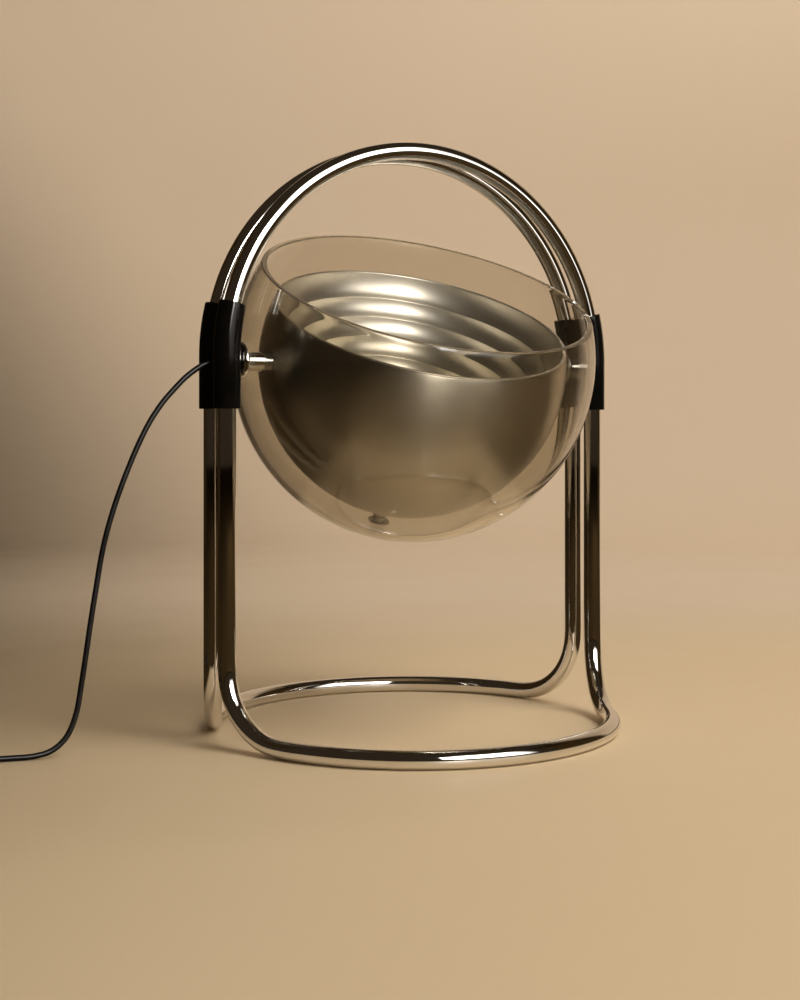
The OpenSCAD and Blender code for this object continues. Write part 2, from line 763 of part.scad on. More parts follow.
module switch_base() {
    color(black) translate(switch_at) difference() {
        union() {
            difference() {
                linear_extrude(split_z) switch_outline(0);
                translate([0, 0, switch_wall]) linear_extrude(split_z) switch_outline(switch_wall);
            }
            at_switch_screws() cylinder(d = switch_post_d, h = split_z);
        }
        cord_holes();
        at_switch_screws() {
            translate([0, 0, -eps]) cylinder(d = switch_screw_d + 2 * seat_fit, h = far);
            translate([0, 0, -eps]) cylinder(d = 2 * switch_screw_d + 2 * seat_fit, h = screw_head_room + eps);
        }
    }
}

module switch_cover() {
    window = [rocker_l + 2 * rocker_gap, rocker_w + 2 * rocker_gap];
    lug_y = window.y / 2;
    lug_z = rocker_z - rocker_pin_d;
    color(black) translate(switch_at) difference() {
        union() {
            difference() {
                intersection() {
                    translate([0, 0, split_z]) linear_extrude(switch_h - split_z) switch_outline(0);
                    translate([0, 0, switch_h - switch_crown_r]) rotate([0, 90, 0])
                        cylinder(r = switch_crown_r, h = switch_l + 2, center = true);
                }
                translate([0, 0, split_z - 1]) linear_extrude(cavity_top - split_z + 1)
                    switch_outline(switch_wall);
                translate([-window.x / 2, -window.y / 2, split_z]) cube([window.x, window.y, far]);
            }
            for (y = [-lug_y - lug_t, lug_y])
                translate([-lug_t, y, lug_z]) cube([2 * lug_t, lug_t, cavity_top - lug_z + eps]);
            at_switch_screws() translate([0, 0, split_z])
                cylinder(d = switch_post_d, h = cavity_top - split_z + eps);
        }
        cord_holes();
        translate([0, 0, rocker_z]) rotate([90, 0, 0])
            cylinder(d = rocker_pin_d + 2 * seat_fit, h = 2 * (lug_y + lug_t) + eps, center = true);
        at_switch_screws() cylinder(d = switch_screw_d + 2 * seat_fit, h = screw_bore_end);
    }
}

module switch_screws() {
    head_t = switch_screw_d / 2;
    head_z = screw_head_room - head_t;
    color(steel) translate(switch_at) at_switch_screws() translate([0, 0, head_z]) {
        cylinder(d = 2 * switch_screw_d, h = head_t);
        cylinder(d = switch_screw_d, h = screw_bore_end - moving_gap - head_z);
    }
}

// Two terminal blocks on the floor of the base, with their clamp screws' bores
module switch_contacts() {
    block = [7, 6, 4];
    block_at = 13;
    block_floor = 1;
    clamp_d = 2.5;
    color(brass) translate(switch_at) for (side = [-1, 1])
        translate([side * block_at - block.x / 2, -block.y / 2, switch_wall]) difference() {
            cube(block);
            translate([block.x / 2, block.y / 2, block_floor]) cylinder(d = clamp_d, h = block.z);
        }
}

module switch_pin() {
    l = rocker_w + 2 * (rocker_gap + lug_t);
    color(steel) translate(switch_at + [0, 0, rocker_z]) rotate([90, 0, 0])
        cylinder(d = rocker_pin_d, h = l, center = true);
}

// The rocker is shown with its lamp-side end pressed down
module switch_rocker() {
    half = rocker_l / 2;
    foot = rocker_foot_l / 2;
    color(black) translate(switch_at + [0, 0, rocker_z]) rotate([90, 0, 0]) rotate([0, 0, -rocker_turn / 2])
        linear_extrude(rocker_w, center = true) difference() {
            polygon([
                [-half, rocker_side], [-foot, -rocker_foot], [foot, -rocker_foot], [half, rocker_side],
                [half, rocker_top], [0, rocker_dip], [-half, rocker_top]
            ]);
            circle(d = rocker_pin_d + 2 * running_fit);
        }
}

// Plug: a flat moulded body with a tapered guard, and two round pins
module plug_body() {
    shoulder = 14;
    neck_w = guard_root_d + 4;
    crown_r = 52;
    color(black) translate(plug_at) {
        intersection() {
            translate([0, 0, -plug_t / 2]) linear_extrude(plug_t) polygon([
                [0, -neck_w / 2], [shoulder, -plug_w / 2], [plug_l, -plug_w / 2],
                [plug_l, plug_w / 2], [shoulder, plug_w / 2], [0, neck_w / 2]
            ]);
            for (side = [-1, 1]) crown(side, crown_r);
        }
        translate([-guard_l, 0, 0]) rotate([0, 90, 0])
            cylinder(d1 = guard_tip_d, d2 = guard_root_d, h = guard_l);
    }
}

// One face of the plug's crown, below or above its middle
module crown(side, r) {
    translate([-1, 0, side * (r - plug_t / 2)]) rotate([0, 90, 0]) cylinder(r = r, h = plug_l + 2);
}

module plug_pins() {
    tip = 0.8;
    color(brass) translate(plug_at + [plug_l, 0, 0]) for (y = [-pin_spacing / 2, pin_spacing / 2])
        translate([0, y, 0]) rotate([0, 90, 0]) {
            cylinder(d = pin_d, h = pin_l - tip);
            translate([0, 0, pin_l - tip]) cylinder(d1 = pin_d, d2 = pin_d - 2 * tip, h = tip);
        }
}

front_arch_tube();
rear_arch_tube();
front_base_tube();
rear_base_tube();
tube_spigots();
left_sleeve();
right_sleeve();
left_pivot_nipple();
right_pivot_stud();
left_collar();
right_collar();
friction_washers();
inner_washers();
spring_washers();
lock_nuts();
cord_bush();
globe();
reflector_bowl();
stepped_reflector();
left_spacer();
right_spacer();
base_post();
post_stud();
globe_washer();
globe_screw();
holder_cap();
holder_nut();
holder_body();
holder_core();
thread_shell();
centre_contact();
inner_lead();
cord_run();
switch_base();
switch_cover();
switch_screws();
switch_contacts();
switch_pin();
switch_rocker();
cord_link();
cord_coil();
coil_tie();
cord_tail();
plug_body();
plug_pins();
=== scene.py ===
"""A table lamp: a smoked globe with a stepped reflector tilts in a frame of bent chrome tubes.

Lengths are in metres. The lamp faces -Y, its tilt axis runs along X, and it stands on z = 0.
"""
import json
import math

import bmesh
import bpy
from mathutils import Matrix, Vector


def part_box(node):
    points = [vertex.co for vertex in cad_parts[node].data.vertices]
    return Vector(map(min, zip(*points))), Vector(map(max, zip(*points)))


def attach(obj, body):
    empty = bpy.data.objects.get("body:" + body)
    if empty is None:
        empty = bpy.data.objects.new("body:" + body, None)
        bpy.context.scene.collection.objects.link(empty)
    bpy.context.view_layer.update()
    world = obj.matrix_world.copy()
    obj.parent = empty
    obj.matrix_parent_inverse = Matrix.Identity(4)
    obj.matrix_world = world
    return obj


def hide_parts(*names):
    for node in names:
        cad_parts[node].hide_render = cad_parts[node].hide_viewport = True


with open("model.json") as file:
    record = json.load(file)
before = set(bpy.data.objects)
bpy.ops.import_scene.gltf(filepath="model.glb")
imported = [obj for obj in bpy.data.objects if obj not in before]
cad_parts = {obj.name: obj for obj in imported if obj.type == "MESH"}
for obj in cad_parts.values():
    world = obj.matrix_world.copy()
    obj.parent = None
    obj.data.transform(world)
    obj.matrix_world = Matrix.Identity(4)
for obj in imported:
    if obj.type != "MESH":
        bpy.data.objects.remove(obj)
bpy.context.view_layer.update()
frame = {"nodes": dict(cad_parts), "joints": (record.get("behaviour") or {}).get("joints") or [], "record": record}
nodes = frame["nodes"]
record = frame["record"]
scene = bpy.context.scene

MM = 0.001

# Camera: it looks level, past the lamp's left front
CAMERA_AT = Vector((-0.5203, -0.9550, 0.2119))
CAMERA_TURN = math.radians(-28.14)
CAMERA_LENS = 56.76
CAMERA_SHIFT_Y = -0.0817

# Light
LIGHT_COLOUR = (1.0, 0.95, 0.88)
WORLD_COLOUR = (1.0, 0.70, 0.42)
WORLD_STRENGTH = 0.03

# Head: the tilt axis and the lampholder's axis come from the frame
PIVOT = Vector(next(j for j in frame["joints"] if j["name"] == "head_tilt")["pos_m"])
LAMP_AXIS = Vector(record["mounts"][0]["axis"])
HEAD = Matrix.Translation(PIVOT) @ Vector((0, 0, 1)).rotation_difference(LAMP_AXIS).to_matrix().to_4x4()
PIVOT_HOLE_R = 5.5 * MM
PIVOT_R = 5 * MM
FIT = 0.05 * MM

# Globe and bowl: the height of each cut is measured from the ball's own centre
GLOBE_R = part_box("globe")[1].x
GLOBE_WALL = 3.5 * MM
GLOBE_LIFT = 3 * MM
GLOBE_CUT = 51.8 * MM
GLOBE_HOLE_R = 2.5 * MM
GLOBE_EDGE = 0.7 * MM
BOWL_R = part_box("reflector_bowl")[1].x
BOWL_WALL = 1 * MM
BOWL_CUT = 31.2 * MM
BOWL_HOLE_R = 3.05 * MM
BOWL_EDGE = 0.4 * MM
BALL_STEPS = 192

# Stepped reflector: rings of a quarter ellipse, from the rim down to the lampholder
RING_COUNT = 6
FIRST_RING_H = 16 * MM
RING_H = 11.5 * MM
RING_STEP = 9.2 * MM
REFLECTOR_T = 1 * MM
REFLECTOR_GAP = 0.5 * MM
LIP_W = 2.4 * MM
LIP_Z = BOWL_CUT + REFLECTOR_T
HOLDER_R = 19.5 * MM
REFLECTOR_EDGE = 0.8 * MM
REFLECTOR_STEPS = 256

# Frame: two arches on two base loops, all of the same tube
TUBE_R = 6 * MM
BORE_R = 4.8 * MM
ARCH_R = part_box("front_arch_tube")[1].x - TUBE_R
ARCH_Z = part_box("front_arch_tube")[1].z - TUBE_R - ARCH_R
HALF_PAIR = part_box("rear_arch_tube")[1].y - TUBE_R
JOINT_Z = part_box("front_arch_tube")[0].z
FOOT_BEND_R = 45 * MM
TOE_IN = math.radians(22)
BASE_STEP = 2 * MM
BASE_EASING = 30
ARCH_STEP = 3 * MM

# Collars: bells between the globe and the sleeves
COLLAR_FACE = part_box("right_collar")[0].x
COLLAR_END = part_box("right_collar")[1].x
COLLAR_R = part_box("right_collar")[1].y
COLLAR_NECK_R = 8 * MM
COLLAR_CONE = 0.4 * MM
COLLAR_RIM = 1 * MM
COLLAR_SWELL = 1 * MM
COLLAR_EDGE = 0.5 * MM
COLLAR_STEPS = 96
FRICTION_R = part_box("friction_washers")[1].y

# Sleeves: two lobes round the tubes with a web between them
LOBE_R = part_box("right_sleeve")[1].x - ARCH_R
SLEEVE_BELOW = ARCH_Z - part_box("right_sleeve")[0].z
SLEEVE_ARC = math.radians(13.8)
WEB_OUT = 3 * MM
WEB_IN = 5 * MM
WEB_FILLET = 1.5 * MM
SLEEVE_EDGE = 0.5 * MM

# Screw shell of the lampholder: its ends are measured from the pivot along the lamp's axis
SHELL_LOW = -68.12 * MM
SHELL_HIGH = -44.12 * MM
SHELL_R = 13.4 * MM
SHELL_WALL = 0.5 * MM
THREAD_DEPTH = 0.55 * MM
THREAD_PITCH = 3.6 * MM
THREAD_FADE = 2 * MM

# Softened edges of the mouldings
MOULDING_EDGE = 0.4 * MM
HOLDER_EDGE = 0.5 * MM

# Lead: its routes are those of the solids, in millimetres
CORD_D = 3.6 * MM
RUN_POINTS = [
    (-132, 0, 249), (-141, 0, 249), (-148, 0.4, 248.2), (-155, 1, 245.2), (-164, 2, 238.6), (-172, 3, 230.4),
    (-180, 4, 221), (-189, 5, 207), (-198, 6, 188), (-207, 7, 165), (-213, 8, 146), (-217.5, 9, 127),
    (-221, 9.5, 106), (-224.5, 10, 84), (-227.5, 10, 64), (-230.5, 10.5, 44), (-233.5, 11, 27),
    (-239, 12, 13.4), (-248, 13, 5.2), (-259, 14, 2.4), (-271, 16, 2.1), (-283, 18, 2.3), (-294, 19.5, 3.6),
    (-304, 20, 6.6), (-313, 20, 8), (-320, 20, 8),
]
LINK_POINTS = [
    (-370, 20, 8), (-378, 20, 8), (-389, 21, 6), (-400, 25, 3.4), (-409, 34, 2.8), (-414, 46, 3),
    (-415, 58, 3.2), (-415, 70, 3.2), (-415, 78.4, 3.2),
]
COIL_START = Vector((-415, 82, 3.2))
COIL_TURNS = 10.25
COIL_LAYERS = 4
COIL_IN_R = 14.6
COIL_PITCH = 4.06
TAIL_OFFSETS = [(3.6, 0), (12, -0.4), (22, -3.4), (31, -7.48), (37, -8.48), (42, -8.48)]
ROUTE_STEPS = 6
COIL_STEPS = 48


# Node helpers for materials

def new_material(name):
    """A material with its node tree and its shader."""
    made = bpy.data.materials.new(name)
    made.use_nodes = True
    return made, made.node_tree, made.node_tree.nodes["Principled BSDF"]


def noise(tree, scale, detail=3.0, rough=0.5):
    """A noise value from 0 to 1, with its scale per metre."""
    coords = tree.nodes.new("ShaderNodeTexCoord")
    made = tree.nodes.new("ShaderNodeTexNoise")
    made.inputs["Scale"].default_value = scale
    made.inputs["Detail"].default_value = detail
    made.inputs["Roughness"].default_value = rough
    tree.links.new(coords.outputs["Object"], made.inputs["Vector"])
    return made.outputs["Fac"]


def spread(tree, value, low, high, start=0.3, end=0.7):
    """Maps a value to the range from low to high."""
    made = tree.nodes.new("ShaderNodeMapRange")
    made.interpolation_type = "SMOOTHSTEP"
    made.inputs["From Min"].default_value = start
    made.inputs["From Max"].default_value = end
    made.inputs["To Min"].default_value = low
    made.inputs["To Max"].default_value = high
    tree.links.new(value, made.inputs["Value"])
    return made.outputs["Result"]


def tones(tree, value, dark, pale):
    """Turns a value into colours from dark to pale."""
    made = tree.nodes.new("ShaderNodeMix")
    made.data_type = "RGBA"
    made.inputs["A"].default_value = (*dark, 1)
    made.inputs["B"].default_value = (*pale, 1)
    tree.links.new(value, made.inputs["Factor"])
    return made.outputs["Result"]


def compute(tree, operation, *values):
    """A value worked out from sockets or numbers."""
    made = tree.nodes.new("ShaderNodeMath")
    made.operation = operation
    for socket, value in zip(made.inputs, values):
        if isinstance(value, (int, float)):
            socket.default_value = value
        else:
            tree.links.new(value, socket)
    return made.outputs["Value"]


def is_reflection(tree):
    """1 for rays that a surface has thrown back glossily, else 0."""
    path = tree.nodes.new("ShaderNodeLightPath")
    return compute(tree, "SUBTRACT", path.outputs["Is Glossy Ray"], path.outputs["Is Transmission Ray"])


def bump(tree, shader, height, depth):
    """Bumps of a depth in metres."""
    made = tree.nodes.new("ShaderNodeBump")
    made.inputs["Distance"].default_value = depth
    tree.links.new(height, made.inputs["Height"])
    tree.links.new(made.outputs["Normal"], shader.inputs["Normal"])


# Materials: scales are per metre and depths in metres

METAL_PATCH_SCALE = 18
METAL_GRAIN_SCALE = 2500
METAL_GRAIN_DEPTH = 0.2e-6
PLASTIC_PATCH_SCALE = 60
PLASTIC_GRAIN_SCALE = 1800
PLASTIC_GRAIN_DEPTH = 2e-6


def metal(name, dark, pale, rough, spun=0.0):
    """Metal with faint smudges and a fine grain; spun metal has marks round its axis."""
    made, tree, shader = new_material(name)
    shader.inputs["Metallic"].default_value = 1.0
    patches = spread(tree, noise(tree, METAL_PATCH_SCALE, detail=1.5), 0, 1)
    tree.links.new(tones(tree, patches, dark, pale), shader.inputs["Base Color"])
    tree.links.new(spread(tree, patches, *rough, 0, 1), shader.inputs["Roughness"])
    bump(tree, shader, noise(tree, METAL_GRAIN_SCALE, detail=2), METAL_GRAIN_DEPTH)
    if spun:
        quarter_turn = 0.25
        round_axis = tree.nodes.new("ShaderNodeTangent")
        round_axis.direction_type = "RADIAL"
        round_axis.axis = "Z"
        tree.links.new(round_axis.outputs["Tangent"], shader.inputs["Tangent"])
        shader.inputs["Anisotropic"].default_value = spun
        shader.inputs["Anisotropic Rotation"].default_value = quarter_turn
    return made


def steel_with_painted_shade():
    """Steel that is bright on its turned sides, with painted shade that makes it dark on the flat faces across the
    lamp's axis.
    """
    painted_shade_face, bright_side = (0.09, 0.07, 0.05), (0.60, 0.58, 0.55)
    side_until, painted_shade_from = 0.6, 0.9
    made, tree, shader = new_material("steel")
    shader.inputs["Metallic"].default_value = 1.0
    coords = tree.nodes.new("ShaderNodeTexCoord")
    across = tree.nodes.new("ShaderNodeVectorMath")
    across.operation = "DOT_PRODUCT"
    across.inputs[1].default_value = LAMP_AXIS
    tree.links.new(coords.outputs["Normal"], across.inputs[0])
    facing = compute(tree, "ABSOLUTE", across.outputs["Value"])
    # Painted shade: the base colour goes dark where the surface faces along the lamp's axis
    side = spread(tree, facing, 1, 0, side_until, painted_shade_from)
    tree.links.new(tones(tree, side, painted_shade_face, bright_side), shader.inputs["Base Color"])
    patches = noise(tree, METAL_PATCH_SCALE, detail=1.5)
    tree.links.new(spread(tree, patches, 0.24, 0.34), shader.inputs["Roughness"])
    bump(tree, shader, noise(tree, METAL_GRAIN_SCALE, detail=2), METAL_GRAIN_DEPTH)
    return made


def plastic(name, dark, pale, rough, gloss=0.5):
    """Moulded plastic with a fine grain and slightly uneven gloss."""
    made, tree, shader = new_material(name)
    shader.inputs["Specular IOR Level"].default_value = gloss
    patches = spread(tree, noise(tree, PLASTIC_PATCH_SCALE, detail=6, rough=0.6), 0, 1)
    tree.links.new(tones(tree, patches, dark, pale), shader.inputs["Base Color"])
    tree.links.new(spread(tree, patches, *rough, 0, 1), shader.inputs["Roughness"])
    bump(tree, shader, noise(tree, PLASTIC_GRAIN_SCALE, detail=3), PLASTIC_GRAIN_DEPTH)
    return made


def smoked_acrylic():
    """Clear brown acrylic whose tint is very slightly uneven.

    Light and reflections pass nearly straight through it, which keeps the metal inside free of grain.
    Rays that are inside the wall pass less, which keeps the dark line along the rim.
    """
    passing_share, held_in_wall = 0.85, 0.65
    made, tree, shader = new_material("smoked_acrylic")
    shader.inputs["Transmission Weight"].default_value = 1.0
    shader.inputs["IOR"].default_value = 1.49
    shader.inputs["Roughness"].default_value = 0.0
    uneven = spread(tree, noise(tree, 9, detail=1), 0, 1)
    tint = tones(tree, uneven, (0.78, 0.745, 0.665), (0.79, 0.755, 0.68))
    tree.links.new(tint, shader.inputs["Base Color"])
    path = tree.nodes.new("ShaderNodeLightPath")
    light = compute(tree, "MAXIMUM", path.outputs["Is Shadow Ray"], path.outputs["Is Diffuse Ray"])
    in_wall = compute(tree, "MODULO", path.outputs["Transmission Depth"], 2)
    leaving = compute(tree, "MULTIPLY_ADD", in_wall, -held_in_wall, 1)
    from_metal = compute(tree, "MULTIPLY", is_reflection(tree), leaving)
    passing = compute(tree, "MAXIMUM", light, from_metal)
    tree.links.new(compute(tree, "MULTIPLY_ADD", passing, -passing_share, 1), shader.inputs["Alpha"])
    return made


MATERIALS = {
    "chrome": metal("chrome", (0.74, 0.72, 0.69), (0.78, 0.765, 0.74), (0.035, 0.05)),
    "sleeve_plastic": plastic("sleeve", (0.004, 0.004, 0.003), (0.006, 0.005, 0.005), (0.05, 0.08), 0.2),
    "steel": steel_with_painted_shade(),
    "smoked_acrylic": smoked_acrylic(),
    "bowl_aluminium": metal("bowl_aluminium", (0.51, 0.48, 0.42), (0.53, 0.50, 0.44), (0.30, 0.32), spun=0.8),
    "reflector_aluminium": metal("reflector", (0.68, 0.63, 0.53), (0.70, 0.65, 0.55), (0.41, 0.43), spun=0.5),
    "washer_nylon": plastic("washer_nylon", (0.70, 0.66, 0.58), (0.80, 0.77, 0.70), (0.40, 0.50)),
    "holder_plastic": plastic("holder_plastic", (0.010, 0.008, 0.007), (0.018, 0.015, 0.013), (0.14, 0.22)),
    "ceramic": plastic("ceramic", (0.76, 0.72, 0.64), (0.86, 0.83, 0.76), (0.16, 0.24)),
    "brass": metal("brass", (0.60, 0.42, 0.17), (0.76, 0.58, 0.27), (0.18, 0.32)),
    "cord_sheath": plastic("cord_sheath", (0.006, 0.006, 0.006), (0.011, 0.010, 0.010), (0.30, 0.40), 0.4),
    "switch_plastic": plastic("switch_plastic", (0.010, 0.010, 0.010), (0.018, 0.018, 0.017), (0.34, 0.44)),
    "rocker_plastic": plastic("rocker_plastic", (0.014, 0.014, 0.014), (0.024, 0.024, 0.023), (0.18, 0.26)),
    "tie_strap": plastic("tie_strap", (0.012, 0.012, 0.012), (0.024, 0.024, 0.024), (0.45, 0.60)),
}

SLOTS = {part["node"]: part["material_slot"] for part in record["subparts"]}


def dress_nodes():
    """Gives every node of the frame its slot's material."""
    for name, slot in SLOTS.items():
        slots = nodes[name].data.materials
        slots.clear()
        slots.append(MATERIALS[slot])


# Lead

def smooth(points, steps):
    """Points on a smooth curve through the given ones."""
    last = len(points) - 1
    found = []
    for i in range(last):
        a, b, c, d = (Vector(points[max(0, min(i + k, last))]) for k in (-1, 0, 1, 2))
        for j in range(steps):
            t = j / steps
            bend = (2 * a - 5 * b + 4 * c - d) * t ** 2 + (3 * b - a - 3 * c + d) * t ** 3
            found.append((2 * b + (c - a) * t + bend) / 2)
    return found + [Vector(points[last])]


def coil_points(steps):
    """The coil's turns: they spiral in and out in layers and climb where the spiral turns back."""
    layer_turns, climb_turns = COIL_TURNS / COIL_LAYERS, 0.5
    out_r = COIL_IN_R + COIL_PITCH * layer_turns
    centre = COIL_START + Vector((out_r, 0, 0))
    count = round(COIL_TURNS * steps)
    found = []
    for i in range(count + 1):
        turn = COIL_TURNS * i / count
        layer = min(int(turn / layer_turns), COIL_LAYERS - 1)
        done = turn - layer * layer_turns
        r = COIL_IN_R + COIL_PITCH * done if layer % 2 else out_r - COIL_PITCH * done
        climbs = [(turn - k * layer_turns) / climb_turns + 0.5 for k in range(1, COIL_LAYERS)]
        up = COIL_PITCH * sum(max(0, min(1, c)) for c in climbs)
        angle = math.pi - 2 * math.pi * turn
        found.append(centre + Vector((r * math.cos(angle), r * math.sin(angle), up)))
    return found


def cord_curve(name, points, replaced):
    """A round cord along points that are in millimetres."""
    curve = bpy.data.curves.new(name, "CURVE")
    curve.dimensions = "3D"
    curve.bevel_depth = CORD_D / 2
    curve.bevel_resolution = 5
    curve.use_fill_caps = True
    spline = curve.splines.new("POLY")
    spline.points.add(len(points) - 1)
    for spot, point in zip(spline.points, points):
        spot.co = (*(Vector(point) * MM), 1)
    spline.use_smooth = True
    curve.materials.append(MATERIALS["cord_sheath"])
    piece = bpy.data.objects.new(name, curve)
    scene.collection.objects.link(piece)
    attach(piece, "frame")
    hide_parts(*replaced)
    return piece


def make_cords():
    """The lead: one cord from the pivot to the switch and one from the switch to the plug."""
    to_switch = cord_curve("cord_to_switch", smooth(RUN_POINTS, ROUTE_STEPS), ["cord_run"])
    turns = coil_points(COIL_STEPS)
    tail = [turns[-1] + Vector((along, 0, up)) for along, up in TAIL_OFFSETS]
    route = smooth(LINK_POINTS, ROUTE_STEPS)[:-1] + turns + smooth(tail, ROUTE_STEPS)
    to_plug = cord_curve("cord_to_plug", route, ["cord_link", "cord_coil", "cord_tail"])


# Mesh helpers

def add_piece(bm, node, body, matrix=Matrix.Identity(4), crease=35):
    """Makes a bmesh into a piece that stands for a CAD node and moves with its body."""
    bmesh.ops.recalc_face_normals(bm, faces=bm.faces)
    name = node + "_shown"
    mesh = bpy.data.meshes.new(name)
    bm.to_mesh(mesh)
    bm.free()
    mesh.shade_smooth()
    mesh.set_sharp_from_angle(angle=math.radians(crease))
    mesh.materials.append(MATERIALS[SLOTS[node]])
    piece = bpy.data.objects.new(name, mesh)
    scene.collection.objects.link(piece)
    piece.matrix_world = matrix
    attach(piece, body)
    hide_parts(node)


def arc(centre, r, start, end, steps):
    """Points of an arc in the plane, with its angles in degrees."""
    angles = [math.radians(start + (end - start) * i / steps) for i in range(steps + 1)]
    return [(centre[0] + r * math.cos(t), centre[1] + r * math.sin(t)) for t in angles]


def rounded(points, r, steps=4, least_turn=25):
    """A closed outline with its corners rounded off where they turn sharply."""
    most_of_side = 0.45
    found = []
    for i in range(len(points)):
        a, b, c = (Vector(points[(i + k) % len(points)]) for k in (-1, 0, 1))
        into, away = b - a, c - b
        turn = abs(into.angle(away))
        if turn < math.radians(least_turn):
            found.append(b)
            continue
        reach = min(r * math.tan(turn / 2), most_of_side * into.length, most_of_side * away.length)
        start = b - reach * into.normalized()
        end = b + reach * away.normalized()
        for j in range(steps + 1):
            t = j / steps
            found.append((1 - t) ** 2 * start + 2 * t * (1 - t) * b + t ** 2 * end)
    return found


def lathe(profile, steps):
    """A closed outline of (radius, height) points, turned round Z."""
    bm = bmesh.new()
    rings = []
    for i in range(steps):
        t = 2 * math.pi * i / steps
        rings.append([bm.verts.new((r * math.cos(t), r * math.sin(t), z)) for r, z in profile])
    for i in range(steps):
        a, b = rings[i], rings[(i + 1) % steps]
        for k in range(len(profile)):
            m = (k + 1) % len(profile)
            bm.faces.new((a[k], b[k], b[m], a[m]))
    return bm


def loft(rings):
    """A closed skin through rings of points, with flat ends."""
    bm = bmesh.new()
    rows = [[bm.verts.new(p) for p in ring] for ring in rings]
    for a, b in zip(rows, rows[1:]):
        for k in range(len(a)):
            m = (k + 1) % len(a)
            bm.faces.new((a[k], a[m], b[m], b[k]))
    bm.faces.new(rows[0])
    bm.faces.new(rows[-1])
    bmesh.ops.recalc_face_normals(bm, faces=bm.faces)
    return bm


def rod(r, start, end, height=0.0, steps=64):
    """A closed cylinder along X."""
    turns = [2 * math.pi * i / steps for i in range(steps)]
    return loft([[(x, r * math.cos(t), height + r * math.sin(t)) for t in turns] for x in (start, end)])


def carve(bm, cutter, operation="DIFFERENCE"):
    """The first bmesh with the second taken off or added."""
    made = []
    for part in (bm, cutter):
        mesh = bpy.data.meshes.new("carve")
        part.to_mesh(mesh)
        part.free()
        made.append(bpy.data.objects.new("carve", mesh))
        scene.collection.objects.link(made[-1])
    boolean = made[0].modifiers.new("carve", "BOOLEAN")
    boolean.operation = operation
    boolean.solver = "EXACT"
    boolean.object = made[1]
    evaluated = made[0].evaluated_get(bpy.context.evaluated_depsgraph_get())
    result = bmesh.new()
    result.from_mesh(evaluated.to_mesh())
    evaluated.to_mesh_clear()
    for part in made:
        bpy.data.meshes.remove(part.data)
    return result


# Head

def ball_profile(r, wall, lift, cut, hole_r, steps):
    """The section of a hollow ball, cut off level and with a hole at its pole."""
    inner = r - wall

    def angles(radius):
        return math.degrees(math.asin(hole_r / radius)) - 90, math.degrees(math.asin(cut / radius))

    outside = arc((0, lift), r, *angles(r), steps)
    inside = arc((0, lift), inner, *angles(inner), steps)
    return outside + inside[::-1]


def make_globe():
    """The globe, whose tilt is in its mesh so that the box of its object is its real size."""
    profile = ball_profile(GLOBE_R, GLOBE_WALL, GLOBE_LIFT, GLOBE_CUT, GLOBE_HOLE_R, 72)
    pivot_holes = rod(PIVOT_HOLE_R, -2 * GLOBE_R, 2 * GLOBE_R)
    bm = carve(lathe(rounded(profile, GLOBE_EDGE), BALL_STEPS), pivot_holes)
    bm.transform(HEAD)
    add_piece(bm, "globe", "head")


def make_bowl():
    """The spun bowl, which keeps its own axis so that its marks run round it."""
    profile = ball_profile(BOWL_R, BOWL_WALL, 0, BOWL_CUT, BOWL_HOLE_R, 64)
    pivot_holes = rod(PIVOT_HOLE_R, -2 * BOWL_R, 2 * BOWL_R)
    bm = carve(lathe(rounded(profile, BOWL_EDGE), BALL_STEPS), pivot_holes)
    add_piece(bm, "reflector_bowl", "head", HEAD)


def make_reflector():
    """The ringed reflector, a thin turned sheet whose lip rests on the bowl's rim."""
    bowl_in_r = BOWL_R - BOWL_WALL
    rim_rho = math.sqrt(bowl_in_r ** 2 - BOWL_CUT ** 2) - REFLECTOR_GAP - REFLECTOR_T
    edges = [(rim_rho, LIP_Z)]
    for i in range(RING_COUNT):
        edges.append((rim_rho - (i + 1) * RING_STEP, LIP_Z - FIRST_RING_H - i * RING_H))

    def ring_point(i, angle, grow):
        (rho, z), (next_rho, next_z) = edges[i], edges[i + 1]
        across, down = rho - next_rho + grow, z - next_z + grow
        return next_rho + across * math.cos(math.radians(angle)), z - down * math.sin(math.radians(angle))

    steps, trim = 12, 9
    inside = [ring_point(i, 90 * j / steps, 0) for i in range(RING_COUNT) for j in range(steps)] + [edges[-1]]
    outside = [ring_point(i, trim + (90 - 2 * trim) * j / steps, REFLECTOR_T)
               for i in reversed(range(RING_COUNT)) for j in reversed(range(steps + 1))]
    floor_rho, floor_z = HOLDER_R + REFLECTOR_GAP, edges[-1][1]
    lip_rho = rim_rho + LIP_W
    profile = [(lip_rho, LIP_Z)] + inside + [(floor_rho, floor_z), (floor_rho, floor_z - REFLECTOR_T)]
    profile += outside + [(rim_rho + REFLECTOR_T, BOWL_CUT), (lip_rho, BOWL_CUT)]
    bm = lathe(rounded(profile, REFLECTOR_EDGE, least_turn=40), REFLECTOR_STEPS)
    add_piece(bm, "stepped_reflector", "head", HEAD, crease=60)


def make_thread_shell():
    """A thin shell rolled into a round thread."""
    around, along = 96, 84
    rings = []
    for side in (0, 1):
        rows = range(along + 1) if side == 0 else reversed(range(along + 1))
        for row in rows:
            z = SHELL_LOW + (SHELL_HIGH - SHELL_LOW) * row / along
            fade = min(1, min(z - SHELL_LOW, SHELL_HIGH - z) / THREAD_FADE)
            ring = []
            for i in range(around):
                t = 2 * math.pi * i / around
                wave = math.cos(2 * math.pi * z / THREAD_PITCH - t)
                r = SHELL_R + SHELL_WALL * (1 - side) + THREAD_DEPTH * fade * (wave - 1) / 2
                ring.append((r * math.cos(t), r * math.sin(t), z))
            rings.append(ring)
    bm = bmesh.new()
    rows = [[bm.verts.new(p) for p in ring] for ring in rings]
    for a, b in zip(rows, rows[1:] + rows[:1]):
        for k in range(around):
            m = (k + 1) % around
            bm.faces.new((a[k], a[m], b[m], b[k]))
    add_piece(bm, "thread_shell", "head", HEAD)


# Tubes

